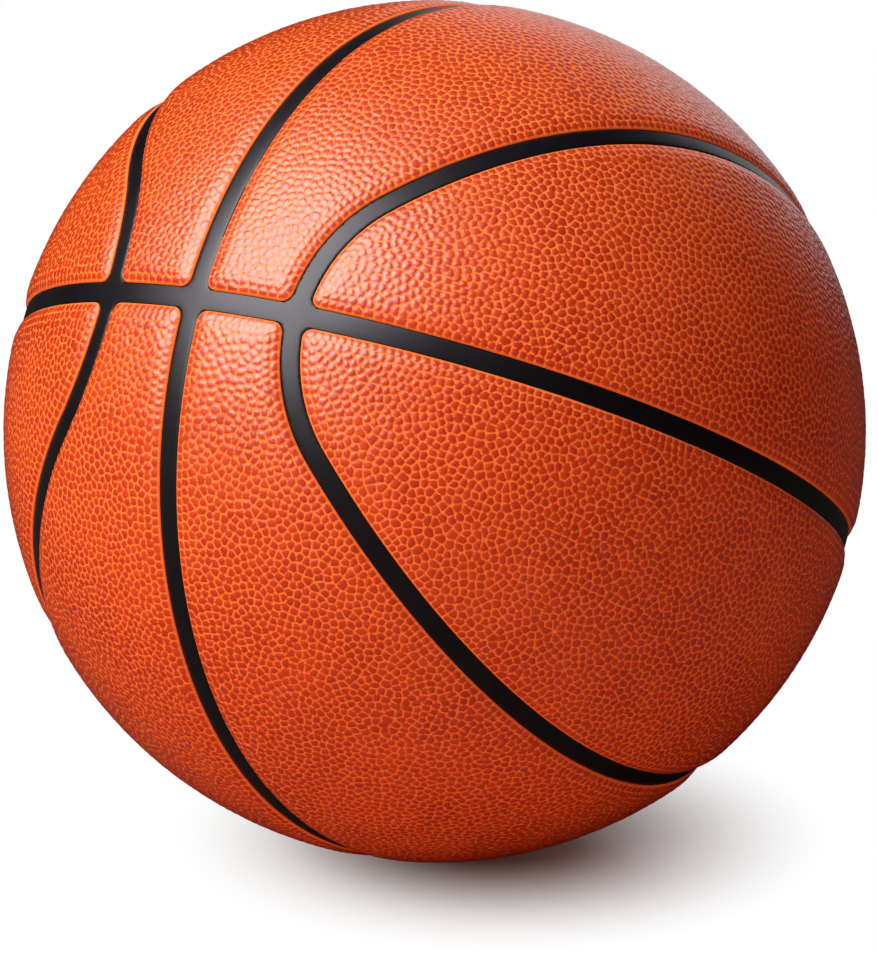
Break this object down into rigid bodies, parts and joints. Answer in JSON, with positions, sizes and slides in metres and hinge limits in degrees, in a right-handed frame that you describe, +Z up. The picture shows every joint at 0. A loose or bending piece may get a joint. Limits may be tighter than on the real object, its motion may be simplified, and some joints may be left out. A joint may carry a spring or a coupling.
{
  "type": "basketball",
  "caption": "Full-size ball with a pebbled composite cover, smooth inlaid channels, foam backings, rubber carcass, wound thread, bladder and needle valve.",
  "frame": {"origin": "centre of the ball", "axes": "+Z up from the surface that the ball lies on; the loop in the middle of the picture faces +X and -Y, and the valve faces -X and +Y"},
  "size_m": [0.242, 0.242, 0.242],
  "materials": {
    "cover": "satin",
    "foam": "matte",
    "channel": "satin",
    "carcass": "matte",
    "thread": "satin",
    "bladder": "satin",
    "valve": "satin"
  },
  "bodies": {
    "root": {"bladder": "bladder", "valve_patch": "bladder", "valve_boot": "valve", "valve_core": "valve", "thread_winding": "thread", "carcass": "carcass", "centre_foam_right_upper": "foam", "centre_foam_right_lower": "foam", "centre_foam_left_upper": "foam", "centre_foam_left_lower": "foam", "wing_foam_right_upper": "foam", "wing_foam_right_lower": "foam", "wing_foam_left_upper": "foam", "wing_foam_left_lower": "foam", "centre_cover_right_upper": "cover", "centre_cover_right_lower": "cover", "centre_cover_left_upper": "cover", "centre_cover_left_lower": "cover", "wing_cover_right_upper": "cover", "wing_cover_right_lower": "cover", "wing_cover_left_upper": "cover", "wing_cover_left_lower": "cover", "main_channel_strip": "channel", "cross_channel_strip_upper": "channel", "cross_channel_strip_lower": "channel", "loop_strip_right_upper": "channel", "loop_strip_right_lower": "channel", "loop_strip_left_upper": "channel", "loop_strip_left_lower": "channel"}
  },
  "joints": []
}
